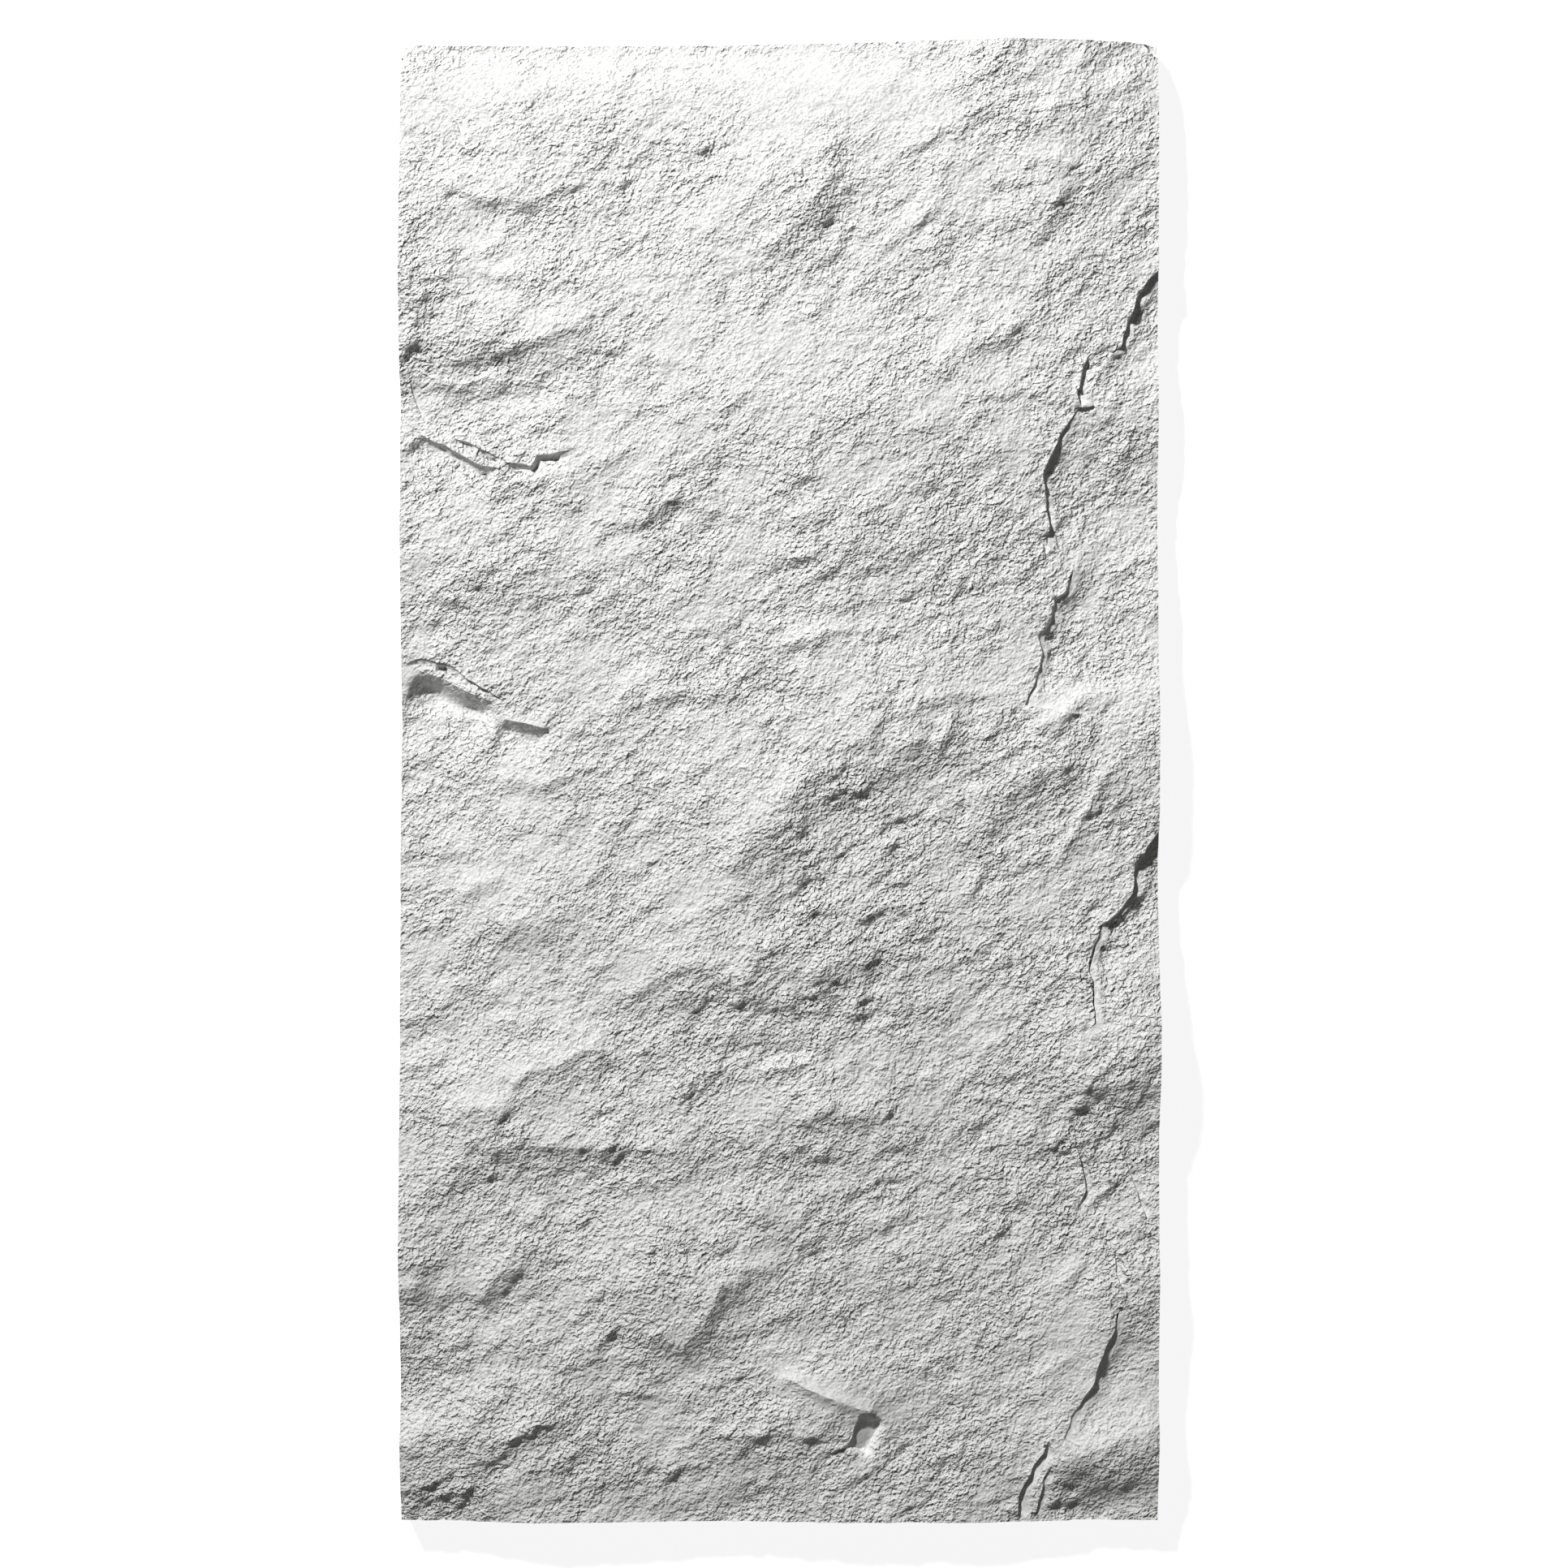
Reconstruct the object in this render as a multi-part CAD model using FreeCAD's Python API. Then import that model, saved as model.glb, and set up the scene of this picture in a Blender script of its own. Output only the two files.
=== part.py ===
"""Faux stone wall panel.

One slab of moulded rigid polyurethane whose front is a cast of split rock. It lies on
its flat back with the stone face up: X runs across the panel, Y up its length as it
hangs on a wall, and Z is its thickness. The origin is the centre of the back.
Lengths are millimetres, angles degrees. Places on the face are percent of the width
(from the left edge) and percent of the length (from the bottom edge).
"""
import FreeCAD
import Part

import math
import os
from collections import namedtuple

Vector = FreeCAD.Vector

# Panel
WIDTH = 615.0
LENGTH = 1200.0
BODY_THICKNESS = 35.0

# Carrying net of the moulded face
NET_STEP = 20.0
NET_MARGIN = 12.0

# Crowning of the whole face, highest along its middle
CROWN = 5.0

# Corner chips, where the cast stops and the plain backing shows
CHIP_LEVEL = 13.0
CHIP_ACROSS = 12.0
CHIP_DOWN = 12.0

# Height of the cutting tools, past any relief
TOOL_HEIGHT = 150.0

Swell = namedtuple("Swell", "across up reach_across reach_up turn rise")
Ridge = namedtuple("Ridge", "start end rise lit_reach lee_reach")
Ledge = namedtuple("Ledge", "crack open_side middle reach_along reach_out turn depth")

# Broad bulges (rise above 0) and hollows (rise below 0) of the rock, mainly those that
# give the four edges their wavy section
SWELLS = {
    "top_left_roll": Swell(26, 101, 240, 32, 0, -20),
    "top_right_block": Swell(80, 99, 95, 120, 8, 13),
    "top_right_corner_fall": Swell(101, 101, 40, 45, 0, -11),
    "left_shoulder": Swell(-1, 86, 45, 75, 0, 14),
    "upper_left_hollow": Swell(10, 76, 75, 34, 12, -7),
    "left_saddle": Swell(-2, 54, 80, 95, 0, -13),
    "lower_left_shoulder": Swell(0, 22, 80, 65, 0, 8),
    "lower_left_dip": Swell(0, 9, 50, 28, 0, -8),
    "bottom_left_fall": Swell(4, -1, 50, 28, 0, -12),
    "bottom_left_toe": Swell(17, 3, 38, 32, 20, 5),
    "bottom_middle_fall": Swell(42, -1, 60, 28, 0, -9),
    "bottom_right_fall": Swell(90, -1, 60, 28, 0, -11),
    "right_upper_hollow": Swell(100, 68, 60, 70, 0, -7),
    "right_middle_shoulder": Swell(102, 52, 75, 60, 0, 10),
    "right_lower_shoulder": Swell(101, 34, 85, 85, 0, 14),
    "right_foot_shoulder": Swell(98, 14, 70, 60, 0, 9),
    "lower_middle_bulge": Swell(35, 16, 110, 70, 25, 6),
}

# Broken crests: a long slope on the side of the upper left, a short steep one beyond
RIDGES = {
    "chimney_crest": Ridge((48.8, 84.6), (57.5, 92.8), 9, 65, 22),
    "upper_right_rib": Ridge((84.5, 86.3), (88.5, 93.5), 5.5, 34, 18),
    "small_upper_left": Ridge((7, 90.4), (21, 90.4), 5.5, 42, 20),
    "left_bank": Ridge((-2, 79.4), (27, 80.6), 9, 60, 34),
    "upper_crest": Ridge((24, 73.5), (87, 74.4), 8, 90, 42),
    "inner_crest": Ridge((47, 65.6), (70, 67.2), 8, 52, 32),
    "left_rise": Ridge((-3, 64.2), (22, 64.6), 6.5, 45, 26),
    "middle_crest": Ridge((43, 43.3), (57, 51.0), 12, 95, 28),
    "high_middle_crest": Ridge((57, 51.2), (76, 56.2), 10, 85, 28),
    "right_middle_crest": Ridge((77, 50.4), (93, 52.0), 8, 44, 24),
    "band_crest": Ridge((29, 38.2), (67, 38.6), 11, 85, 44),
    "left_middle_crest": Ridge((10, 40.6), (25, 41.4), 5.5, 40, 22),
    "left_low_rib": Ridge((12, 29.5), (28, 32.2), 6.5, 42, 22),
    "left_dark_bank": Ridge((4, 26.4), (17, 29.0), 8, 42, 26),
    "lower_left_crest": Ridge((9, 25.9), (40, 25.6), 8, 62, 30),
    "lower_middle_crest": Ridge((42, 26.4), (68, 28.4), 8, 48, 24),
    "right_step_crest": Ridge((84, 30.2), (103, 30.8), 9, 62, 26),
    "left_edge_break": Ridge((-4, 17.0), (5, 17.4), 8, 45, 24),
    "left_foot_rib": Ridge((9, 15.8), (20, 19.2), 6.5, 42, 22),
    "foot_crest": Ridge((28, 12.2), (48, 18.4), 8, 85, 30),
    "foot_band": Ridge((39, 5.9), (58, 6.1), 6.5, 45, 22),
    "left_foot_crest": Ridge((-3, 5.2), (22, 6.9), 8, 42, 26),
    "right_foot_crest": Ridge((85, 3.8), (103, 6.4), 10, 50, 28),
    "notch_wedge": Ridge((50, 9.4), (63.5, 7.5), 8, 34, 20),
}

# Fracture ledges: the crack runs down its points, and past it the rock has broken
# away to a lower terrace, deepest at the crack's middle
LEDGES = {
    "upper_right": Ledge(
        [(101, 85.2), (99.0, 84.0), (97.0, 82.6), (95.6, 80.6), (94.9, 79.4), (93.0, 78.4)],
        [(97.0, 75.0), (103, 75.0), (103, 85.2)], (97.4, 81.8), 68, 90, 66, 9.5),
    "upper_right_shelf": Ledge(
        [(90.4, 75.4), (88.6, 74.5), (87.0, 73.6), (86.0, 72.2), (84.9, 70.9), (85.1, 69.4),
         (85.5, 67.4), (85.2, 66.0), (86.6, 64.6)],
        [(103, 65.6), (103, 76.4)], (86.0, 69.6), 72, 130, 80, 8),
    "upper_right_split": Ledge(
        [(90.6, 78.6), (89.9, 77.4), (89.5, 76.2), (89.9, 75.2)],
        [(92.0, 75.4), (92.4, 78.4)], (90.0, 76.8), 28, 22, 75, 5.5),
    "middle_right": Ledge(
        [(88.6, 64.2), (88.0, 63.0), (86.3, 62.2), (85.8, 60.8), (84.3, 59.8), (84.6, 58.6),
         (83.7, 57.0), (82.3, 55.2)],
        [(101, 53.5), (101.5, 65.2)], (86.0, 60.6), 72, 100, 72, 9.5),
    "lower_right": Ledge(
        [(101, 47.5), (98.6, 45.7), (97.1, 44.2), (96.4, 42.5), (95.1, 41.4), (92.7, 40.4),
         (91.6, 38.8), (90.7, 37.4), (91.4, 36.4), (91.2, 35.2), (91.5, 33.7), (89.8, 32.8),
         (88.6, 31.2), (87.6, 29.6)],
        [(103, 27.5), (103, 47.5)], (98.4, 44.8), 185, 90, 62, 10),
    "foot_right": Ledge(
        [(94.6, 14.3), (93.9, 13.0), (93.0, 12.0), (92.1, 10.9), (91.4, 9.7), (90.0, 8.5),
         (88.8, 7.2), (87.5, 5.7)],
        [(100, 3.6), (103, 7), (102, 15.0)], (91.6, 10.2), 72, 100, 66, 10.5),
    "left_gouge": Ledge(
        [(0.6, 57.6), (1.6, 58.0), (2.9, 58.2), (6.3, 57.7), (8.7, 56.9), (11.5, 56.1),
         (14.5, 55.1)],
        [(13, 52), (1, 53)], (6.4, 57.3), 56, 25, -27, 9.5),
    "upper_left_lip": Ledge(
        [(2.4, 73.2), (5.1, 72.6), (8.2, 71.8), (9.9, 71.4), (11.2, 71.1), (13.2, 71.4)],
        [(13, 68.5), (3, 69.5)], (7.8, 72.0), 38, 18, -22, 6),
    "foot_notch": Ledge(
        [(59.0, 5.2), (60.1, 6.9), (60.6, 7.1), (62.9, 7.15), (63.5, 5.6)],
        [(62.6, 4.2), (60.2, 4.2)], (61.6, 5.4), 24, 36, 0, 6.5),
}


def place(across, up):
    """Point of the back plane from its percent of the width and of the length."""
    return Vector((across / 100.0 - 0.5) * WIDTH, (up / 100.0 - 0.5) * LENGTH, 0)


def bell(distance, reach):
    """Smooth fall from 1 to 0 as the distance passes the reach."""
    return math.exp(-(distance / reach) ** 2)


def along_and_out(point, centre, turn):
    """Distances of a point along an axis turned from X, and to the right of it."""
    angle = math.radians(turn)
    offset = point - centre
    along = offset.x * math.cos(angle) + offset.y * math.sin(angle)
    out = offset.x * math.sin(angle) - offset.y * math.cos(angle)
    return along, out


def swell_height(swell, point):
    along, out = along_and_out(point, place(swell.across, swell.up), swell.turn)
    return swell.rise * bell(along, swell.reach_across) * bell(out, swell.reach_up)


def ridge_height(ridge, point):
    start = place(*ridge.start)
    end = place(*ridge.end)
    run = end - start
    turn = math.degrees(math.atan2(run.y, run.x))
    along, out = along_and_out(point, (start + end) * 0.5, turn)
    reach = ridge.lee_reach if out > 0 else ridge.lit_reach
    return ridge.rise * bell(out, reach) * bell(along, run.Length * 0.5)


def face_height(point):
    """Height of the moulded face over the back."""
    crown = CROWN * math.cos(math.pi * point.x / WIDTH) * math.cos(math.pi * point.y / LENGTH)
    height = BODY_THICKNESS + crown
    height += sum(swell_height(swell, point) for swell in SWELLS.values())
    height += sum(ridge_height(ridge, point) for ridge in RIDGES.values())
    return height


def terrace_height(ledge, point):
    """Height of the broken floor beside a crack; it comes back to the face all round."""
    along, out = along_and_out(point, place(*ledge.middle), ledge.turn)
    shallow = (along / ledge.reach_along) ** 2 + (out / ledge.reach_out) ** 2
    return face_height(point) - ledge.depth * (1.0 - shallow)


def stations(low, high):
    """Evenly spaced places from low to high, about one net step apart."""
    count = max(4, round((high - low) / NET_STEP))
    return [low + (high - low) * i / count for i in range(count + 1)]


def sheet(x_range, y_range, height):
    """Smooth sheet through the heights over a rectangle of the panel."""
    points = []
    for x in stations(*x_range):
        points.append([Vector(x, y, height(Vector(x, y, 0))) for y in stations(*y_range)])
    surface = Part.BSplineSurface()
    surface.interpolate(points)
    return surface.toShape()


def prism(outline, bottom, height):
    """Upright solid over a closed outline given in percent places."""
    points = [place(*pair) + Vector(0, 0, bottom) for pair in outline]
    return Part.Face(Part.makePolygon(points + points[:1])).extrude(Vector(0, 0, height))


def blank():
    """Slab with square cut edges, a flat back and the moulded face on top."""
    half = Vector(WIDTH / 2 + NET_MARGIN, LENGTH / 2 + NET_MARGIN, 0)
    face = sheet((-half.x, half.x), (-half.y, half.y), face_height)
    under_face = face.extrude(Vector(0, 0, -TOOL_HEIGHT))
    block = Part.makeBox(WIDTH, LENGTH, TOOL_HEIGHT, Vector(-WIDTH / 2, -LENGTH / 2, 0))
    return under_face.common(block)


def broken_away(ledge):
    """The rock that a fracture took off: past the crack and above the terrace."""
    outline = ledge.crack + ledge.open_side
    box = prism(outline, 0.0, TOOL_HEIGHT).BoundBox
    x_range = (box.XMin - NET_MARGIN, box.XMax + NET_MARGIN)
    y_range = (box.YMin - NET_MARGIN, box.YMax + NET_MARGIN)
    floor = sheet(x_range, y_range, lambda point: terrace_height(ledge, point))
    over_floor = floor.extrude(Vector(0, 0, TOOL_HEIGHT))
    return over_floor.common(prism(outline, 0.0, TOOL_HEIGHT))


def corner_chip(side):
    """Snapped upper corner on the left (-1) or right (1) side, down to the backing."""
    corner = Vector(side * WIDTH / 2, LENGTH / 2, CHIP_LEVEL)
    across = corner - Vector(side * CHIP_ACROSS, 0, 0)
    down = corner - Vector(0, CHIP_DOWN, 0)
    inner = corner - Vector(side * CHIP_ACROSS * 0.55, CHIP_DOWN * 0.55, 0)
    past = corner + Vector(side * CHIP_ACROSS, CHIP_DOWN, 0)
    past_across = Vector(across.x, past.y, corner.z)
    past_down = Vector(past.x, down.y, corner.z)
    outline = Part.makePolygon([across, inner, down, past_down, past, past_across, across])
    return Part.Face(outline).extrude(Vector(0, 0, TOOL_HEIGHT))


def stone_panel():
    panel = blank()
    for ledge in LEDGES.values():
        panel = panel.cut(broken_away(ledge))
    for side in (-1, 1):
        panel = panel.cut(corner_chip(side))
    return panel


def main():
    os.makedirs("parts", exist_ok=True)
    panel = stone_panel()
    panel = panel.Solids[0] if len(panel.Solids) == 1 else panel
    litres = round(panel.Volume / 1e6, 2)
    print("stone_panel solids", len(panel.Solids), "valid", panel.isValid(), "litres", litres)
    panel.exportStep("parts/stone_panel.step")


main()
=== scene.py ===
"""Faux stone wall panel, dressed for the camera.

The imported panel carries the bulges, the main crests, the fracture ledges and the
snapped corners. This script lays a finer skin over the same solid: the ledges get
jagged edges, the smaller breaks of the cast rock are added one by one, Geometry Nodes
roughen the face between them, and the material carries the grain of the skin.

Places on the face are millimetres from the panel's left and bottom edges.
"""

import logging
import math
import random
from collections.abc import Callable
from dataclasses import dataclass, field
from enum import Enum
from functools import partial

import bmesh
import bpy
import numpy as np
from bpy.types import ID, Material, Node, NodeSocket, NodeTree, Object, World
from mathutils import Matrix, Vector, noise
from mathutils.bvhtree import BVHTree
from mathutils.geometry import delaunay_2d_cdt
from mathutils.kdtree import KDTree


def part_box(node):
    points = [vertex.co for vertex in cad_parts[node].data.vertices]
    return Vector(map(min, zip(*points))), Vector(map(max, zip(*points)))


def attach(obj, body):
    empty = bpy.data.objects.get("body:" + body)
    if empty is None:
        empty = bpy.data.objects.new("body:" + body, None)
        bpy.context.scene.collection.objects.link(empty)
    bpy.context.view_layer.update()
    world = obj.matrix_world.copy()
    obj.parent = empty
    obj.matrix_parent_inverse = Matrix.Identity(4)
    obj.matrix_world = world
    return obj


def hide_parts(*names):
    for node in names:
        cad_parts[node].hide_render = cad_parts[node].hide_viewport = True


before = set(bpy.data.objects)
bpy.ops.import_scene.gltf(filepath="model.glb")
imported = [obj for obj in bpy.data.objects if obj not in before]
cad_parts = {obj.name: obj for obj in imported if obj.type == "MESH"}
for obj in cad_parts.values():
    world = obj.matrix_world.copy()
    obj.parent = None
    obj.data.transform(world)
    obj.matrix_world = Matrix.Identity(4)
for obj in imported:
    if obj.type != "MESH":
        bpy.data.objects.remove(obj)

BODY = "root"
PANEL = "stone_panel"
MM = 0.001
Place = tuple[float, float]
Array = np.ndarray
Wall = tuple[Array, Array]
# the way that most breaks of the cast fall, to the lower right
FALL = (0.485, -0.875)

logging.basicConfig(level=logging.INFO, format="%(name)s %(message)s")
log = logging.getLogger("panel")


class Side(Enum):
    """The side of a line, as walked from its first place to its last."""

    LEFT = -1
    RIGHT = 1


class Grade(Enum):
    """How a break meets the face that it falls to."""

    CREST = "one line that both slopes share"
    CRACK = "two lines, with a sheer drop between them"


@dataclass(frozen=True)
class Break:
    """A line along which the cast rock is broken.

    The face climbs over lit_run to the line and stands crest above its old level. Past
    a crest it falls back over lee_run. Past a crack it starts drop below its old level
    and comes back over lee_run, or follows its scarp: distances past the line with the
    heights there. The last calm millimetres past it are smooth.
    """

    line: tuple[Place, ...]
    crest: float
    lit_run: float
    lee_run: float
    drop: float = 0.0
    calm: float = 0.0
    taper: float = 14.0
    lee: Side = Side.RIGHT
    scarp: tuple[Place, ...] = ()

    @property
    def grade(self) -> Grade:
        """Crack if there is a drop, crest if not."""
        return Grade.CRACK if self.drop > 0 else Grade.CREST

    def height(self, signed: Array) -> Array:
        """Heights that the break adds at distances past its line, below 0 on its lit side."""
        climb = np.clip(1 + signed / self.lit_run, 0, 1) ** 2 * self.crest
        if self.scarp:
            return np.where(signed > 0, np.interp(signed, *zip(*self.scarp)), climb)
        past = np.clip(1 - signed / self.lee_run, 0, 1) ** 1.5
        return np.where(signed > 0, past * (self.crest if self.grade is Grade.CREST else -self.drop), climb)


@dataclass(frozen=True)
class Oval:
    """An oval patch of the face, with the share of its roughness that it keeps."""

    centre: Place
    reach: Place
    turn: float
    keep: float = 1.0


BREAKS: dict[str, Break] = {
    # scars and threads at the right, walked downwards
    "ledge_fork": Break(((516, 799), (523, 790), (524, 776)), 1.2, 10, 9, 1.6, 4, lee=Side.LEFT),
    "ledge_fork_low": Break(((529, 803), (532, 796), (535, 786)), 0.8, 8, 9, 1.2, 3, lee=Side.LEFT),
    "right_scar_high": Break(((549, 308), (552, 290), (556, 270), (550, 250)), 1.2, 16, 12, 2.6, 5, lee=Side.LEFT),
    "right_scar_outer": Break(((583, 303), (591, 290), (597, 272), (606, 243)), 1, 14, 10, 2.2, 4, lee=Side.LEFT),
    "right_scar_low": Break(((579, 222), (581, 203), (588, 186)), 1, 12, 10, 2.6, 4, lee=Side.LEFT),
    "foot_scar": Break(((527, 67), (515, 50), (507, 35), (502, 20), (500, 3)), 1.5, 18, 16, 3.6, 8, 8, lee=Side.LEFT),
    "foot_scar_inner": Break(((530, 46), (522, 36), (519, 20), (513, 3)), 0.8, 8, 14, 2.4, 5, 8, lee=Side.LEFT),
    # lips, ribs and lenses at the left
    "gouge": Break(((2, 694), (10, 697), (18, 699), (30, 696), (40, 693), (55, 684), (72, 673), (86, 663)), 4.4, 44, 24,
                   1.5, 3, 12, scarp=((0, 2.2), (2, 0.4), (4, 0.8), (9, 1.8), (15, 1.2), (24, 0))),
    "gouge_scarp": Break(((13, 693), (24, 687), (36, 682), (49, 676), (63, 670), (84, 660)), 0.1, 3, 60, taper=16,
                         scarp=((0, 0), (11.5, -13), (14, -13.8), (20, -12.2), (31, -8), (45, -3.4), (60, 0))),
    "gouge_thread": Break(((-2, 656), (20, 650), (60, 650), (80, 651)), 2, 12, 8),
    "gouge_lens": Break(((80, 651), (94, 649), (108, 646), (123, 642)), 3.6, 18, 34, taper=5,
                        scarp=((0, 3.6), (9, -4.6), (12, -5.2), (18, -4), (27, -1.4), (34, 0))),
    "gouge_far_lens": Break(((78, 608), (92, 600), (112, 598), (128, 604), (146, 605)), 3.4, 26, 12),
    "lip": Break(((15, 884), (24, 877), (34, 873), (45, 868), (58, 861), (68, 855), (80, 853)), 3, 18, 40, 3, 6, 8,
                 scarp=((0, -1.5), (3, -4.5), (6, -5.2), (14, -4), (26, -1.6), (40, 0))),
    "lip_upper": Break(((42, 878), (54, 876), (63, 872), (73, 867), (84, 861)), 2.6, 14, 9, 2, 3, 8,
                       scarp=((0, -0.4), (4, -3), (6, -2.6), (9, 0))),
    "lip_right": Break(((82, 861), (94, 857), (106, 855), (112, 864), (126, 866), (141, 868)), 2.4, 18, 14, 2.4, 5,
                       scarp=((0, -0.5), (3, -3), (6, -3), (10, -1.2), (14, 0))),
    "lip_thread": Break(((7, 930), (12, 912), (20, 893)), 1.2, 8, 7, 2, 3, lee=Side.LEFT),
    "split": Break(((557, 944), (552, 929), (549, 914), (553, 903)), 1.5, 10, 16, 4.5, 3, 6, lee=Side.LEFT),
    "corner_arc": Break(((26, 1154), (38, 1146), (46, 1134), (51, 1119)), 1.4, 14, 9, 2.4, 3, lee=Side.LEFT),
    "corner_arc_low": Break(((-1, 1124), (11, 1119), (18, 1108), (29, 1099)), 1.2, 12, 9, 1.8, 3, lee=Side.LEFT),
    "notch": Break(((362, 61), (367, 74), (372, 90)), 0.4, 8, 26, 3, 16, 3,
                   scarp=((0, -2.6), (3, -3.2), (15, -6.6), (17, -6.8), (20, -1.5), (26, 0))),
    "wedge": Break(((306, 121), (330, 111), (356, 101), (387, 90)), 3.8, 14, 11, taper=8),
    "upper_wedge": Break(((286, 366), (304, 366), (322, 369), (338, 376)), 3.2, 13, 9, taper=6),
    "notch_slash": Break(((348, 55), (358, 61), (364, 63)), 0.8, 6, 8, 1.4, 2, 4),
    # crests of the upper left
    "high_spots": Break(((36, 1084), (50, 1082), (62, 1073), (80, 1072), (102, 1069), (128, 1063)), 3.6, 22, 13),
    "high_spots_far": Break(((112, 1081), (136, 1080), (154, 1087)), 1.6, 16, 9),
    "high_dash": Break(((68, 1143), (92, 1152), (120, 1159), (128, 1170)), 1.2, 14, 8),
    "high_dash_far": Break(((134, 1144), (153, 1143), (162, 1155)), 1.2, 14, 8),
    "high_dash_top": Break(((158, 1165), (178, 1166), (192, 1181), (230, 1181)), 1.2, 14, 8),
    "left_dash_high": Break(((24, 1032), (40, 1032), (58, 1036)), 1.4, 14, 8),
    "left_dash": Break(((22, 1006), (38, 1008), (60, 1013), (80, 1009), (100, 1009)), 2.2, 20, 11),
    "left_dash_end": Break(((96, 1017), (114, 1018)), 1.4, 12, 7),
    "left_dash_low": Break(((-2, 994), (22, 994), (36, 998), (50, 994)), 1.2, 16, 10),
    "left_lens": Break(((-2, 957), (14, 955), (30, 960)), 1, 16, 14),
    "left_sweep": Break(((34, 942), (60, 944), (88, 950), (116, 957), (138, 967), (162, 966)), 3.8, 34, 15),
    "left_bank": Break(((22, 928), (46, 920), (76, 926), (94, 915)), 4.6, 16, 18),
    "left_bank_end": Break(((78, 896), (96, 896), (116, 903)), 1.6, 14, 12),
    "hollow_dark": Break(((236, 1000), (250, 1004), (264, 1002)), 3.2, 20, 14),
    "hollow_dash": Break(((208, 1012), (222, 1012), (238, 1013)), 1.8, 14, 9),
    "hollow_top": Break(((226, 1040), (240, 1049), (266, 1049)), 1.8, 18, 12),
    "middle_dash": Break(((206, 930), (222, 940), (252, 933)), 1.8, 18, 9),
    "blob_dash": Break(((152, 1062), (164, 1066), (176, 1062)), 1.4, 12, 8),
    # crests of the upper right
    "chimney": Break(((300, 1022), (316, 1046), (333, 1066), (349, 1087), (351, 1124)), 4.2, 34, 22),
    "chimney_foot": Break(((318, 1012), (330, 1024), (352, 1030), (368, 1032)), 2, 14, 12),
    "upper_slash": Break(((381, 1026), (403, 1041), (418, 1053), (430, 1064), (444, 1073)), 2.4, 24, 10),
    "upper_arc": Break(((406, 1096), (416, 1112), (438, 1127), (464, 1126)), 2.4, 22, 11),
    "top_arc": Break(((404, 1172), (412, 1189), (428, 1193), (442, 1203)), 2.2, 22, 10),
    "long_slash": Break(((500, 1036), (518, 1047), (529, 1062), (538, 1084), (543, 1112)), 2.4, 30, 14),
    "long_slash_arm": Break(((498, 1094), (516, 1101), (542, 1102)), 1.6, 16, 9),
    "top_slash": Break(((524, 1124), (526, 1140), (536, 1154)), 2, 16, 10),
    "corner_band": Break(((566, 1153), (584, 1165), (604, 1176)), 2.4, 20, 12),
    "corner_dots": Break(((538, 1178), (552, 1180), (574, 1183)), 2, 14, 10),
    "mid_band": Break(((434, 924), (446, 946), (462, 956), (486, 959), (510, 974)), 3, 28, 14),
    "mid_band_high": Break(((462, 1017), (478, 1027), (502, 1026)), 1.6, 16, 9),
    "right_dash": Break(((590, 938), (602, 950), (616, 958)), 2, 12, 8),
    # crests of the middle
    "waist_crest": Break(((170, 811), (196, 812), (206, 827), (228, 830), (246, 820), (288, 813)), 3.2, 34, 13),
    "waist_dash": Break(((184, 848), (212, 850), (240, 854)), 1.4, 18, 9),
    "left_hook": Break(((24, 757), (36, 750), (50, 748), (64, 739), (80, 734)), 1.6, 20, 12),
    "left_hook_low": Break(((62, 720), (70, 728), (80, 731)), 1.8, 12, 8),
    "small_slash": Break(((146, 726), (158, 741), (170, 752), (180, 764)), 2.2, 18, 9),
    "hill_slash": Break(((248, 716), (262, 727), (284, 730)), 2.4, 22, 10),
    "hill_slash_low": Break(((176, 664), (189, 677), (206, 688), (222, 694)), 2.8, 20, 9),
    "hill_foot": Break(((196, 668), (228, 673), (250, 673), (280, 667)), 3, 30, 14),
    "boss_crest": Break(((300, 697), (312, 710), (327, 716), (350, 723), (378, 723)), 3.4, 20, 12),
    "boss_top": Break(((304, 777), (322, 779), (346, 788)), 2.8, 20, 12),
    "boss_right": Break(((352, 752), (366, 757), (378, 747), (400, 753)), 2, 16, 12),
    "eye_left": Break(((352, 629), (378, 632), (386, 648), (394, 660)), 2.6, 18, 11),
    "eye_foot": Break(((394, 621), (412, 630), (434, 638)), 2.2, 18, 11),
    "step_top": Break(((412, 649), (422, 666), (448, 669), (470, 671), (492, 669)), 2.8, 22, 12),
    "step_face": Break(((434, 612), (437, 630), (444, 648), (449, 665)), 3, 14, 9),
    "right_arc": Break(((508, 642), (532, 651), (548, 664), (562, 669), (584, 667)), 4, 26, 16),
    "right_arc_low": Break(((594, 622), (603, 638), (606, 654)), 2, 14, 9),
    "long_dash": Break(((478, 814), (488, 824), (498, 836)), 1.8, 14, 7),
    "dark_lens": Break(((302, 576), (317, 591), (330, 602), (354, 606)), 4.6, 24, 17),
    "small_lens": Break(((164, 583), (179, 595), (202, 599)), 3, 22, 10),
    "middle_wall": Break(((264, 522), (279, 545), (290, 562), (300, 582)), 4, 28, 16),
    "right_bowl": Break(((478, 588), (496, 604), (520, 609), (552, 616)), 3.2, 24, 18),
    "bright_rim": Break(((574, 616), (562, 590), (552, 570), (536, 545), (530, 528)), 3.4, 30, 9),
    "upright_crack": Break(((457, 502), (470, 517), (477, 538), (479, 560), (477, 580), (466, 604)), 2.4, 18, 9),
    "small_bar": Break(((418, 568), (436, 570), (458, 574)), 1.8, 16, 9),
    "far_bar": Break(((376, 548), (392, 550), (404, 558)), 1.4, 14, 8),
    # crests of the lower middle
    "left_dots": Break(((22, 538), (44, 546), (72, 542)), 2.6, 18, 14),
    "left_wedge": Break(((46, 502), (60, 516), (88, 524)), 3.4, 18, 13),
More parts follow.
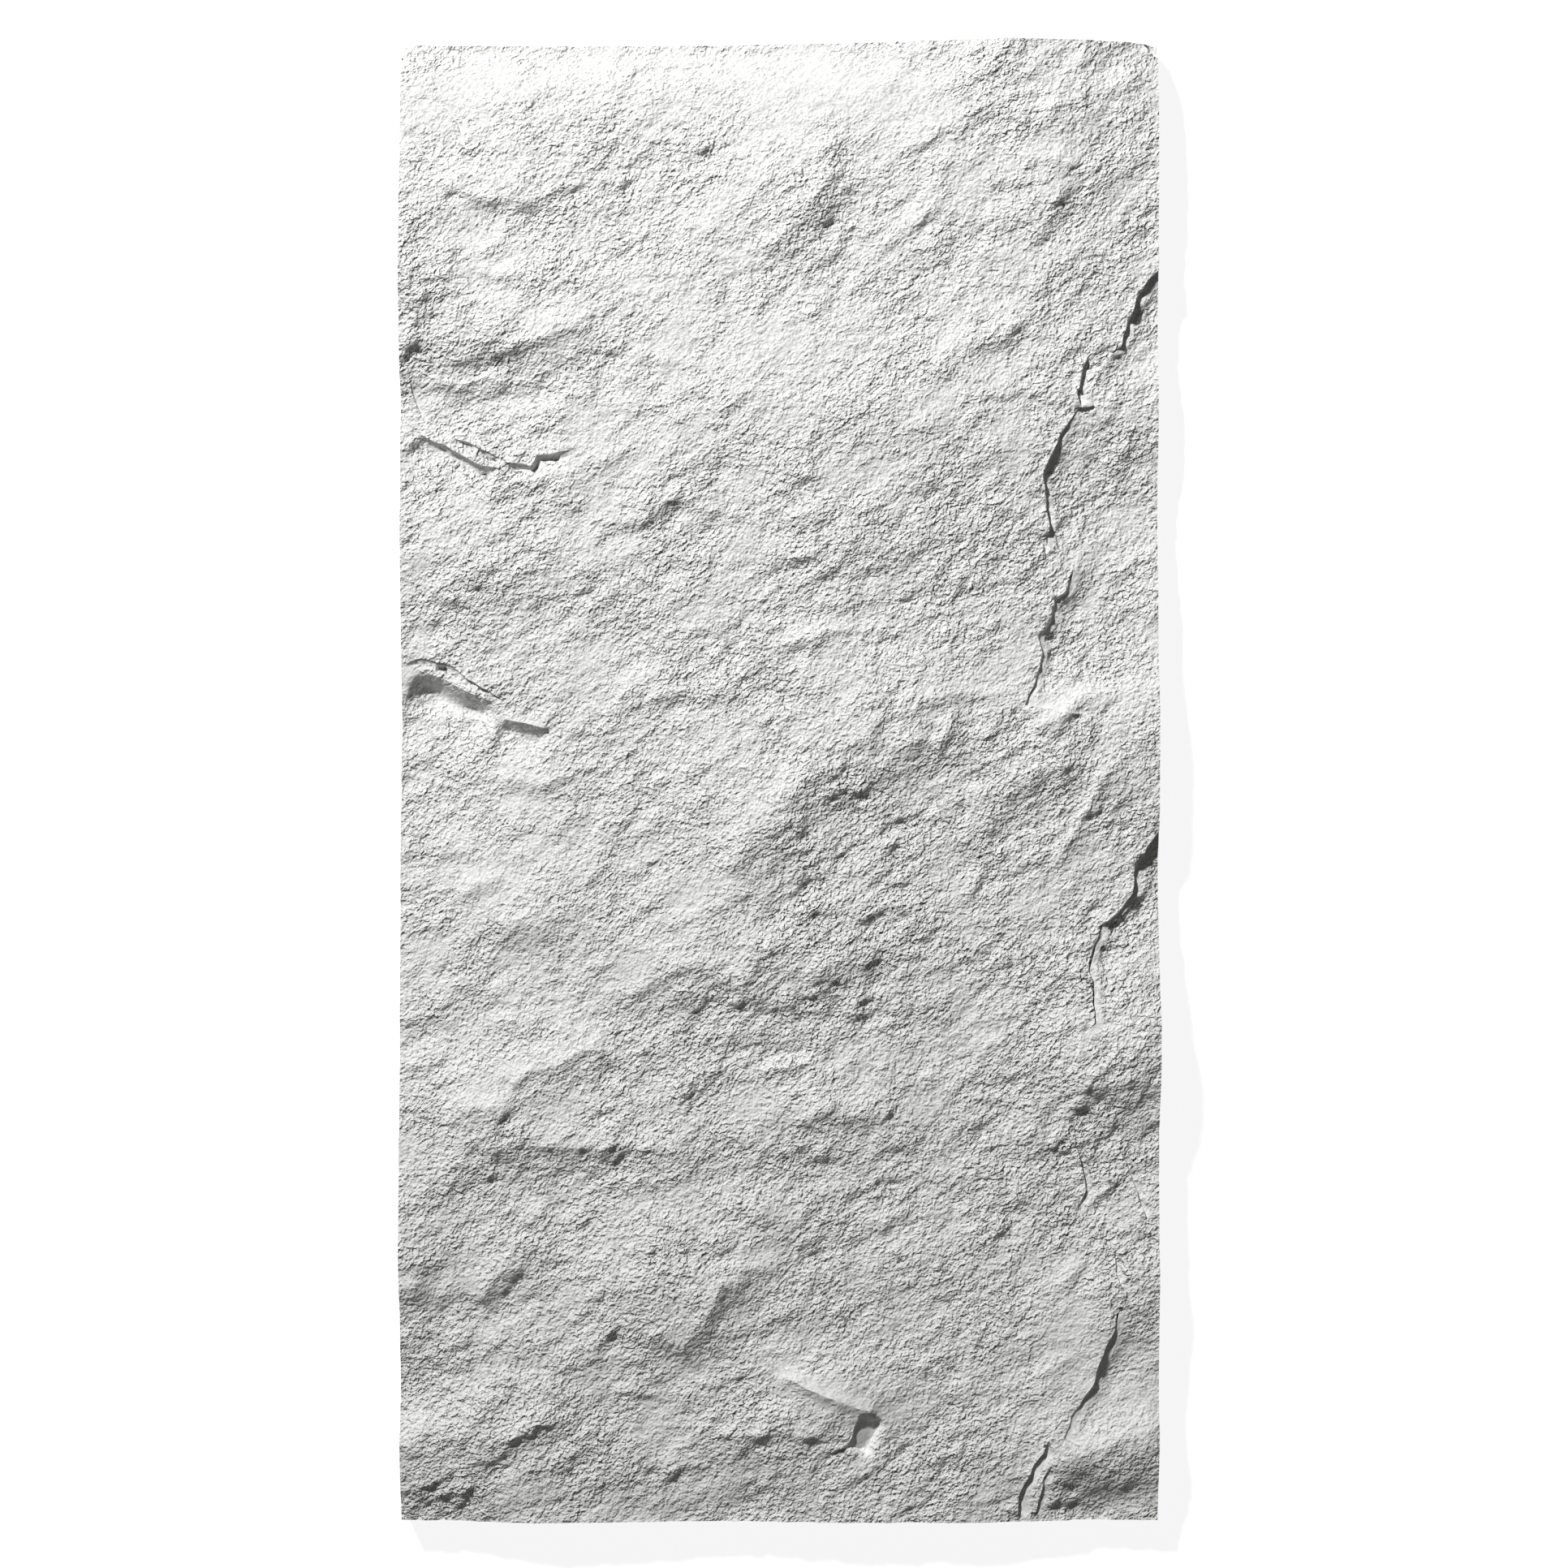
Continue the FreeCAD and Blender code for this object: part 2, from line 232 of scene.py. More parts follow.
    "left_low_bar": Break(((68, 484), (98, 486), (118, 480), (132, 483)), 3.2, 24, 15),
    "left_low_dash": Break(((116, 488), (146, 493)), 1.6, 14, 8),
    "edge_slash": Break(((26, 408), (44, 427), (58, 446)), 2.6, 22, 12),
    "edge_slash_low": Break(((-2, 402), (30, 408), (52, 404)), 1.8, 16, 10),
    "bar_pair": Break(((66, 420), (84, 421), (108, 422)), 2, 16, 10),
    "bar_pair_low": Break(((66, 406), (84, 407), (106, 406)), 1.6, 12, 8),
    "valley_top": Break(((186, 428), (205, 442), (236, 452), (268, 456)), 3.2, 34, 24),
    "valley_rise": Break(((268, 428), (284, 444), (296, 462), (310, 478)), 3.4, 26, 18),
    "valley_far": Break(((330, 442), (352, 455), (370, 462), (390, 462)), 2.8, 24, 20),
    "valley_drop": Break(((220, 412), (228, 428), (246, 430)), 2.2, 14, 12),
    "long_rise": Break(((90, 350), (106, 366), (128, 372), (144, 383), (172, 384)), 3.6, 28, 14),
    "edge_bar": Break(((-2, 370), (24, 370), (38, 372)), 2.4, 16, 10),
    "dark_bank": Break(((46, 332), (60, 338), (80, 336), (98, 330)), 3.6, 24, 24),
    "dark_band": Break(((60, 306), (90, 306), (150, 305), (184, 305), (240, 298)), 4.4, 34, 24),
    "small_slash_low": Break(((212, 346), (226, 358), (240, 366)), 1.6, 16, 8),
    "right_dark_bar": Break(((540, 354), (575, 356), (600, 362), (617, 364)), 2, 26, 26),
    "right_dark_slash": Break(((502, 322), (518, 334), (532, 350)), 1.6, 18, 14),
    "right_low_bar": Break(((444, 324), (480, 326)), 1.8, 18, 10),
    "right_dots": Break(((464, 376), (478, 389), (500, 390)), 2, 16, 10),
    "shore": Break(((322, 348), (345, 338), (375, 331), (408, 333)), 2.6, 26, 14),
    "shore_slash": Break(((320, 316), (336, 332), (352, 336)), 2.4, 16, 12),
    "wedge_end": Break(((338, 378), (336, 366), (322, 362)), 1.6, 12, 10, lee=Side.LEFT),
    # crests of the foot
    "blob_right": Break(((98, 236), (112, 247), (130, 249)), 3, 22, 14),
    "edge_break": Break(((-2, 195), (10, 194), (26, 201)), 4.2, 20, 22),
    "left_foot_slash": Break(((60, 174), (74, 192), (88, 207), (106, 210)), 3.8, 24, 15),
    "left_foot_bar": Break(((30, 142), (48, 145), (64, 158)), 2.4, 18, 10),
    "twin_slash": Break(((66, 126), (76, 142), (90, 156)), 2.2, 14, 8),
    "twin_slash_far": Break(((106, 126), (117, 143), (126, 150)), 2, 14, 8),
    "middle_foot_slash": Break(((148, 128), (160, 143), (170, 154), (184, 158)), 3.2, 24, 16),
    "middle_foot_dash": Break(((180, 164), (198, 168)), 1.6, 12, 8),
    "dark_slope": Break(((220, 132), (238, 156), (251, 176), (260, 193), (288, 195)), 4.2, 34, 22),
    "dark_slope_arm": Break(((196, 152), (214, 156), (230, 150)), 2.2, 16, 14),
    "foot_line": Break(((270, 206), (290, 207), (312, 208)), 2.4, 20, 10),
    "foot_patch": Break(((276, 252), (296, 258), (316, 250)), 3, 22, 18),
    "spot": Break(((34, 108), (46, 108)), 2.2, 12, 10, taper=8),
    "thin_arc": Break(((158, 98), (178, 107), (200, 106), (220, 100)), 1.8, 18, 7),
    "foot_hook": Break(((86, 60), (96, 75), (112, 83), (132, 80)), 3.4, 22, 12),
    "corner_slope": Break(((-2, 56), (12, 68), (28, 84)), 3.2, 24, 30),
    "corner_slash": Break(((42, 58), (54, 73), (68, 79)), 2, 18, 14),
    "bright_shore": Break(((158, 47), (180, 59), (206, 72)), 2.8, 30, 22),
    "foot_blob": Break(((206, 32), (226, 44), (248, 50)), 2.8, 18, 16),
    "foot_dark_line": Break(((254, 69), (280, 73), (312, 73), (346, 70)), 3.6, 22, 10),
    "foot_dark_line_high": Break(((284, 86), (300, 90), (320, 86)), 2, 14, 8),
    "foot_corner": Break(((526, 49), (545, 54), (565, 62), (590, 70), (604, 74), (617, 86)), 4, 30, 70,
                          scarp=((0, 4), (50, -5), (70, -5))),
    "right_slash": Break(((532, 182), (548, 207), (562, 219), (578, 225)), 2.4, 18, 9),
    "middle_slash": Break(((384, 231), (398, 246), (422, 254)), 3, 22, 11),
    "right_foot_dash": Break(((514, 111), (530, 127), (550, 136)), 2.2, 18, 11),
    "right_foot_dash_high": Break(((500, 146), (514, 155), (530, 157)), 2.2, 16, 11),
    "middle_foot_rise": Break(((414, 117), (432, 131), (452, 139)), 2.2, 20, 10),
    "far_patch": Break(((460, 212), (470, 228), (492, 231)), 2, 18, 14),
    "foot_spot": Break(((372, 34), (384, 44), (400, 46)), 2.4, 16, 14),
}

# packed pits that the skin spans, so that named breaks can shape them anew
FILLED: dict[str, Oval] = {
    "gouge": Oval((44, 674), (62, 32), -25),
    "lip": Oval((48, 858), (48, 24), -20),
    "split": Oval((570, 927), (25, 25), 0),
    "notch": Oval((381, 66), (26, 34), 0),
    "shelf_start": Oval((536, 785), (13, 14), 0),
    "shelf_end": Oval((592, 780), (46, 12), 9),
    "foot_end": Oval((604, 175), (30, 13), 10),
    "foot_side": Oval((583, 53), (40, 10), -17),
}

# patches that are smoother or rougher than the rest
CALMS: dict[str, Oval] = {
    "top_patch": Oval((352, 1165), (55, 38), 0, 0.35),
    "wedge": Oval((350, 105), (42, 12), -22, 0.15),
    "foot_terrace": Oval((575, 120), (42, 48), 60, 0.45),
    "left_rough": Oval((45, 900), (70, 60), 0, 1.15),
    "foot_corner": Oval((565, 25), (60, 30), 0, 0.75),
    "middle_rough": Oval((400, 590), (70, 70), 0, 1.25),
    "low_middle_rough": Oval((340, 480), (70, 60), 0, 1.25),
    "top_left_calm": Oval((130, 1165), (120, 30), 0, 0.6),
    "upper_calm": Oval((290, 945), (120, 45), 0, 0.7),
    "left_valley_calm": Oval((215, 500), (50, 50), 0, 0.8),
    "right_rough": Oval((560, 400), (50, 120), 0, 1.25),
    "gouge_floor": Oval((36, 673), (32, 7), -25, 0.1),
    "lens_floor": Oval((101, 644), (19, 5), -12, 0.1),
}


def linear(colour: str) -> tuple[float, float, float, float]:
    """Turns an sRGB hex colour to linear light.

    Args:
        colour: six hex digits after a hash.

    Returns:
        Red, green, blue and a full alpha.
    """
    shares = [int(colour[i:i + 2], 16) / 255 for i in (1, 3, 5)]
    light = [s / 12.92 if s <= 0.04045 else ((s + 0.055) / 1.055) ** 2.4 for s in shares]
    return (light[0], light[1], light[2], 1.0)


def added(name: str, data: ID) -> Object:
    """Adds an object to the scene.

    Args:
        name: the object's name.
        data: its mesh, camera or lamp.

    Returns:
        The object, at the origin.
    """
    thing = bpy.data.objects.new(name, data)
    bpy.context.scene.collection.objects.link(thing)
    return thing


def add_node(tree: NodeTree, kind: str, inputs: dict | None = None, **settings: str | bool) -> Node:
    """Adds a node with its inputs and settings.

    Args:
        tree: the tree that the node joins.
        kind: the node's type.
        inputs: by input name or number, its constant, or the socket that feeds it, or the
            node whose first output does.
        settings: attributes of the node.

    Returns:
        The new node.
    """
    node = tree.nodes.new(kind)
    for name, value in settings.items():
        setattr(node, name, value)
    for key, value in (inputs or {}).items():
        if isinstance(value, Node):
            value = value.outputs[0]
        if isinstance(value, NodeSocket):
            tree.links.new(value, node.inputs[key])
        else:
            node.inputs[key].default_value = value
    return node


def emptied(owner: Material | World) -> Callable[..., Node]:
    """Empties the node tree of a material or world and returns what adds nodes to it."""
    owner.use_nodes = True
    owner.node_tree.nodes.clear()
    return partial(add_node, owner.node_tree)


def smooth_step(value: Array) -> Array:
    """Smooth climb from 0 to 1 as the value does the same."""
    t = np.clip(value, 0.0, 1.0)
    return t * t * (3.0 - 2.0 * t)


def oval_depth(points: Array, oval: Oval) -> Array:
    """Squared distance of each point from an oval's centre, 1 on its rim."""
    offset = points - np.array(oval.centre, float)
    angle = math.radians(oval.turn)
    along = offset[:, 0] * math.cos(angle) + offset[:, 1] * math.sin(angle)
    across = offset[:, 1] * math.cos(angle) - offset[:, 0] * math.sin(angle)
    return (along / oval.reach[0]) ** 2 + (across / oval.reach[1]) ** 2


def beside_line(points: Array, line: Array) -> tuple[Array, Array, float]:
    """Measures points against a line of straight runs.

    Args:
        points: places, one a row.
        line: the line's corners.

    Returns:
        Distance of each point (above 0 to the right of the line), how far along the line
        its nearest place is, and the line's whole length.
    """
    nearest = np.full(len(points), np.inf)
    signed = np.zeros(len(points))
    along = np.zeros(len(points))
    walked = 0.0
    for start, end in zip(line[:-1], line[1:]):
        run = end - start
        length = float(np.hypot(*run))
        offset = points - start
        share = np.clip(offset @ run / length ** 2, 0.0, 1.0)
        distance = np.hypot(*(offset - share[:, None] * run).T)
        right = offset[:, 0] * run[1] - offset[:, 1] * run[0] > 0
        closer = distance < nearest - 1e-9
        nearest[closer] = distance[closer]
        signed[closer] = np.where(right, distance, -distance)[closer]
        along[closer] = (walked + share * length)[closer]
        walked += length
    return signed, along, walked


def subdivided(line: Array, step: float) -> Array:
    """Adds places to a line so that none are more than a step apart."""
    places = [line[0]]
    for start, end in zip(line[:-1], line[1:]):
        count = max(1, math.ceil(float(np.hypot(*(end - start))) / step))
        places += [start + (end - start) * i / count for i in range(1, count + 1)]
    return np.array(places)


def right_normals(line: Array) -> Array:
    """Unit directions to the right of a line at each of its places."""
    runs = np.diff(line, axis=0)
    sides = np.column_stack([runs[:, 1], -runs[:, 0]])
    sides /= np.hypot(*sides.T)[:, None]
    joined = np.vstack([sides[:1], sides[:-1] + sides[1:], sides[-1:]])
    return joined / np.hypot(*joined.T)[:, None]


@dataclass
class PackedFace:
    """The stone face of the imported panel: its heights and the cracks cut into it."""

    node: Object
    low: Vector
    high: Vector
    upright: float = 0.02
    edge_band: float = 0.3
    shortest_wall: float = 0.5
    joint_gap: float = 1.5
    tree: BVHTree = field(init=False)
    cracks: list[Array] = field(init=False)

    def __post_init__(self) -> None:
        """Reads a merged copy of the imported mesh, which itself stays as it is."""
        copy = bmesh.new()
        copy.from_mesh(self.node.data)
        bmesh.ops.remove_doubles(copy, verts=copy.verts, dist=1e-6)
        self.tree = BVHTree.FromBMesh(copy)
        self.cracks = self._joined(self._inner_walls(copy))
        copy.free()

    @property
    def size(self) -> tuple[float, float]:
        """Width and length in millimetres."""
        return (self.high.x - self.low.x) / MM, (self.high.y - self.low.y) / MM

    def height(self, x: float, y: float) -> float:
        """Height of the face at a place, in millimetres."""
        width, length = self.size
        x = min(max(x, 0.02), width - 0.02)
        y = min(max(y, 0.02), length - 0.02)
        start = Vector((self.low.x + x * MM, self.low.y + y * MM, self.high.z + 0.1))
        hit = self.tree.ray_cast(start, Vector((0, 0, -1)))[0]
        return (hit.z - self.low.z) / MM if hit else 0.0

    def drop(self, line: Array, reach: float) -> Array:
        """How far the face falls at each place of a crack, measured a reach to either side."""
        out = right_normals(line) * reach
        return np.array([self.height(*high) - self.height(*low) for high, low in zip(line - out, line + out)])

    def _inner_walls(self, mesh: bmesh.types.BMesh) -> list[Wall]:
        """Finds the sheer walls inside the outline, seen from above, outside the filled pits.

        Args:
            mesh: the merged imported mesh.

        Returns:
            Start and end of each wall, walked with its low side on the right.
        """
        size = np.array(self.size)
        found: dict[tuple[float, float], tuple[Array, Array, list[Place]]] = {}
        for face in mesh.faces:
            if abs(face.normal.z) > self.upright:
                continue
            places = [((v.co.x - self.low.x) / MM, (v.co.y - self.low.y) / MM) for v in face.verts]
            middle = np.mean(places, axis=0)
            if min(*middle, *(size - middle)) < self.edge_band:
                continue
            if any(oval_depth(middle[None], oval)[0] < 1 for oval in FILLED.values()):
                continue
            out = np.array([face.normal.x, face.normal.y]) / math.hypot(face.normal.x, face.normal.y)
            walk = np.array([-out[1], out[0]])
            key = (round(math.atan2(out[1], out[0]), 2), round(float(middle @ out)))
            spots = found[key][2] if key in found else []
            found[key] = (walk, out, spots + [(float(np.dot(p, walk)), float(np.dot(p, out))) for p in places])
        walls = []
        for walk, out, spots in found.values():
            near, far = min(s[0] for s in spots), max(s[0] for s in spots)
            level = float(np.mean([s[1] for s in spots]))
            if far - near > self.shortest_wall:
                walls.append((walk * near + out * level, walk * far + out * level))
        return walls

    def _joined(self, free: list[Wall]) -> list[Array]:
        """Joins walls end to end into cracks, low side on the right."""
        cracks = []
        while free:
            line = list(free.pop())
            grown = True
            while grown:
                grown = False
                for wall in list(free):
                    if np.hypot(*(wall[0] - line[-1])) < self.joint_gap:
                        line.append(wall[1])
                    elif np.hypot(*(wall[1] - line[0])) < self.joint_gap:
                        line.insert(0, wall[0])
                    else:
                        continue
                    free = [w for w in free if w is not wall]
                    grown = True
            cracks.append(np.array(line))
        return cracks


@dataclass
class StoneSkin:
    """The moulded skin: stone face, square-cut sides and flat back as one closed mesh.

    Lengths are millimetres. Each point of the face has a height, a share of the roughness
    and a hold, which is how freely it moves sideways.
    """

    face: PackedFace
    spacing: float = 3.02
    line_step: float = 0.8
    shake: float = 0.24
    clearance: float = 0.55
    margin: float = 1.4
    border_snap: float = 0.9
    border_hold: float = 10.0
    on_border: float = 0.01
    crack_gap: float = 0.6
    crack_look: float = 1.5
    spanning_rounds: int = 900
    easing_rounds: int = 30
    easing_pull: float = 0.6
    bank_share: float = 0.68
    bank_run: float = 20.0
    groove_share: float = 0.2
    groove_width: float = 4.0
    calm_run: float = 5.0
    calm_fall: float = 3.0
    calmed: float = 0.85
    jag_size: float = 21.0
    jag_reach: float = 1.7
    jag_seed: int = 1796100493
    arris: float = 0.8
    back_columns: int = 12
    back_rows: int = 24
    seed: int = 11
    places: list[Vector] = field(default_factory=list)
    looks: list[Place] = field(default_factory=list)
    sides: list[int] = field(default_factory=list)
    lines: list[tuple[int, int]] = field(default_factory=list)
    points: Array = field(init=False)
    heights: Array = field(init=False)
    rough: Array = field(init=False)
    hold: Array = field(init=False)

    def _add_line(self, line: Array, looks: Array, side: int = 0, closed: bool = False) -> None:
        """Adds a line that the mesh's edges must follow.

        Args:
            line: its places.
            looks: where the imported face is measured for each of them.
            side: 1 for the high side of a packed crack, -1 for its low side, else 0.
            closed: whether the last place joins the first.
        """
        first = len(self.places)
        self.places += [Vector(p) for p in line]
        self.looks += [tuple(p) for p in looks]
        self.sides += [side] * len(line)
        self.lines += [(first + i, first + i + 1) for i in range(len(line) - 1)]
        if closed:
            self.lines.append((first + len(line) - 1, first))

    def _held(self, line: Array) -> Array:
        """Keeps a line inside the outline, with ends near it set exactly on it."""
        top = np.array(self.face.size)
        line = np.clip(line, 0.0, top)
        line = np.where(line < self.border_snap, 0.0, line)
        return np.where(line > top - self.border_snap, top, line)

    def _lay_lines(self) -> None:
        """Lays the outline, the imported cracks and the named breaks."""
        width, length = self.face.size
        corners = np.array([(0, 0), (width, 0), (width, length), (0, length), (0, 0)], float)
        outline = subdivided(corners, self.spacing)[:-1]
        self._add_line(outline, outline, closed=True)
        for crack in self.face.cracks:
            line = subdivided(crack, self.spacing * self.line_step)
            out = right_normals(line)
            for side in (1, -1):
                edge = self._held(line - out * self.crack_gap / 2 * side)
                self._add_line(edge, line - out * self.crack_look * side, side)
        for mark in BREAKS.values():
            line = subdivided(np.array(mark.line, float), self.spacing * self.line_step)
            if mark.grade is Grade.CREST:
                self._add_line(self._held(line), line)
                continue
            out = right_normals(line)
            for side in (1, -1):
                edge = self._held(line + out * self.crack_gap / 2 * side)
                self._add_line(edge, edge)

    def _lay_field(self) -> None:
        """Fills the face between the lines with shaken rows of points."""
        width, length = self.face.size
        tree = KDTree(len(self.places))
        for i, place in enumerate(self.places):
            tree.insert((place.x, place.y, 0.0), i)
        tree.balance()
        dice = random.Random(self.seed)
        row_step = self.spacing * math.sqrt(3) / 2
        for row in range(1, int(length / row_step)):
            for column in range(int(width / self.spacing)):
                x = (column + 0.5 + 0.5 * (row % 2)) * self.spacing + dice.uniform(-1, 1) * self.shake * self.spacing
                y = row * row_step + dice.uniform(-1, 1) * self.shake * self.spacing
                if not self.margin < x < width - self.margin or not self.margin < y < length - self.margin:
                    continue
                if tree.find((x, y, 0.0))[2] > self.spacing * self.clearance:
                    self.places.append(Vector((x, y)))
                    self.looks.append((x, y))
                    self.sides.append(0)

    def _ease(self, joints: Array, sides: Array) -> None:
        """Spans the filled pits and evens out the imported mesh's facets, never across a crack.

        Args:
            joints: pairs of neighbours.
            sides: side of a packed crack that each point is on.
        """
        held = sides[joints[:, 0]] * sides[joints[:, 1]] < 0
        first, second = joints[~held].T
        inside = np.any([oval_depth(self.points, oval) < 1 for oval in FILLED.values()], axis=0)
        near = inside[first] | inside[second]
        size = len(self.heights)
        for rounds, ones, others, moving in ((self.spanning_rounds, first[near], second[near], inside),
                                             (self.easing_rounds, first, second, True)):
            count = np.maximum(np.bincount(ones, minlength=size) + np.bincount(others, minlength=size), 1)
            for _ in range(rounds):
                total = np.bincount(ones, self.heights[others], size) + np.bincount(others, self.heights[ones], size)
                eased = (1 - self.easing_pull) * self.heights + self.easing_pull * total / count
                self.heights = np.where(moving, eased, self.heights)

    def _bank(self) -> None:
        """Gives each packed crack a narrow groove and a smooth bank that falls away from it."""
        for crack in self.face.cracks:
            line = subdivided(crack, self.spacing)
            drops = np.clip(self.face.drop(line, self.crack_look), 0, None)
            walked = np.concatenate([[0.0], np.cumsum(np.hypot(*np.diff(line, axis=0).T))])
            signed, along, _ = beside_line(self.points, crack)
            fall = np.interp(along, walked, drops)
            past = signed > 0
            self.heights += past * self.bank_share * fall * np.clip(1 - signed / self.bank_run, 0, 1) ** 2
            self.heights -= past * self.groove_share * fall * np.clip(1 - signed / self.groove_width, 0, 1)
            still = np.clip(1.5 - signed / self.calm_run, 0, 1) * np.clip(fall / self.calm_fall, 0, 1)
            self.rough *= 1 - self.calmed * past * still

    def _break_up(self) -> None:
        """Adds the named breaks and the calm and rough patches."""
        for mark in BREAKS.values():
            line = np.array(mark.line, float)
            reach = max(mark.lit_run, mark.lee_run)
            near = np.all((self.points > line.min(0) - reach) & (self.points < line.max(0) + reach), axis=1)
            spots = np.flatnonzero(near)
            signed, along, length = beside_line(self.points[spots], line)
            signed = signed * mark.lee.value
            ends = smooth_step(np.minimum(along, length - along) / mark.taper)
            self.heights[spots] += mark.height(signed) * ends
            if mark.calm:
                half = mark.calm * 0.5
                still = np.clip(1.6 - np.abs(signed - half) / half, 0, 1)
                self.rough[spots] *= 1 - self.calmed * still * ends * (signed > 0)
        for patch in CALMS.values():
            self.rough *= 1 - (1 - patch.keep) * np.exp(-0.6 * oval_depth(self.points, patch))

    def _jag(self) -> None:
        """Shifts the points sideways, by their hold, so that straight lines break up."""
        # without a seed, Blender draws the offsets of noise_vector from the clock
        noise.seed_set(self.jag_seed)
        shift = np.zeros_like(self.points)
        for finer, share, level in ((1.0, 1.0, 3.7), (2.4, 0.45, 9.1)):
            spots = self.points / self.jag_size * finer
            shift += share * np.array([noise.noise_vector((x, y, level))[:2] for x, y in spots])
        self.points = self.points + shift * self.jag_reach * self.hold[:, None]

    def build(self) -> Object:
        """Builds the closed skin with its roughness as a point attribute.

        Returns:
            The object, at the origin, with its place in its mesh.
        """
        self._lay_lines()
        self._lay_field()
        flat, edges, triangles, origins, _, _ = delaunay_2d_cdt(self.places, self.lines, [], 0, 1e-4)
        self.points = np.array([tuple(p) for p in flat])
        looks = [self.looks[o[0]] if o else tuple(p) for o, p in zip(origins, self.points)]
        sides = np.array([self.sides[o[0]] if o else 0 for o in origins])
        self.heights = np.array([self.face.height(*look) for look in looks])
        self.rough = np.ones(len(self.points))
        self._ease(np.array(edges), sides)
        self._bank()
        self._break_up()
        (x, y), (width, length) = self.points.T, self.face.size
        inside = np.minimum.reduce([x, width - x, y, length - y])
        self.hold = smooth_step(inside / self.border_hold)
        self._jag()
        return self._closed(triangles, np.flatnonzero(inside < self.on_border))

    def _closed(self, triangles: list[list[int]], border: Array) -> Object:
        """Adds the sides and the back to the face.

        Args:
            triangles: the face's triangles.
            border: the points on the outline.

        Returns:
            The closed object.
        """
        width, length = self.face.size
        above = loop = sorted(border, key=self._round)
        verts = [(x, y, z) for (x, y), z in zip(self.points, self.heights)]
        faces = [tuple(t) for t in triangles]
        # each ring of the sides: its share of the face's height, its level and its inset
        for share, level, inset in ((0.5, 0.0, 0.0), (0.0, self.arris, 0.0), (0.0, 0.0, self.arris)):
            row = list(range(len(verts), len(verts) + len(loop)))
            for i in loop:
                x = min(max(self.points[i][0], inset), width - inset)
                y = min(max(self.points[i][1], inset), length - inset)
                verts.append((x, y, self.heights[i] * share + level))
            ends = zip(above, row, row[1:] + row[:1], above[1:] + above[:1])
            faces += list(ends)
            above = row
        back = [Vector(verts[i][:2]) for i in above]
        ring = [(i, (i + 1) % len(back)) for i in range(len(back))]
        numbers = above + list(range(len(verts), len(verts) + self.back_rows * self.back_columns))
        for row in range(self.back_rows):
            for column in range(self.back_columns):
                place = ((column + 0.5) * width / self.back_columns, (row + 0.5) * length / self.back_rows)
                back.append(Vector(place))
                verts.append((*place, 0.0))
        filled = delaunay_2d_cdt(back, ring, [], 1, 1e-5)
        faces += [tuple(numbers[filled[3][i][0]] for i in reversed(t)) for t in filled[2]]
        mesh = bpy.data.meshes.new(PANEL + "_skin")
        corner = self.face.low
        mesh.from_pydata([(corner.x + x * MM, corner.y + y * MM, corner.z + z * MM) for x, y, z in verts], [], faces)
        for name, shares in (("rough", self.rough), ("hold", self.hold)):
            layer = mesh.attributes.new(name, "FLOAT", "POINT")
            rest = np.zeros(len(verts) - len(shares))
            layer.data.foreach_set("value", np.concatenate([shares, rest]).astype(np.float32))
        mesh.validate()
        return added("panel_skin", mesh)

    def _round(self, point: int) -> float:
        """How far round the outline a border point is, anticlockwise from the first corner."""
        (x, y), (width, length) = self.points[point], self.face.size
        if y < self.on_border:
            return x
        if x > width - self.on_border:
            return width + y
        if y > length - self.on_border:
            return 2 * width + length - x
        return 2 * width + 2 * length - y


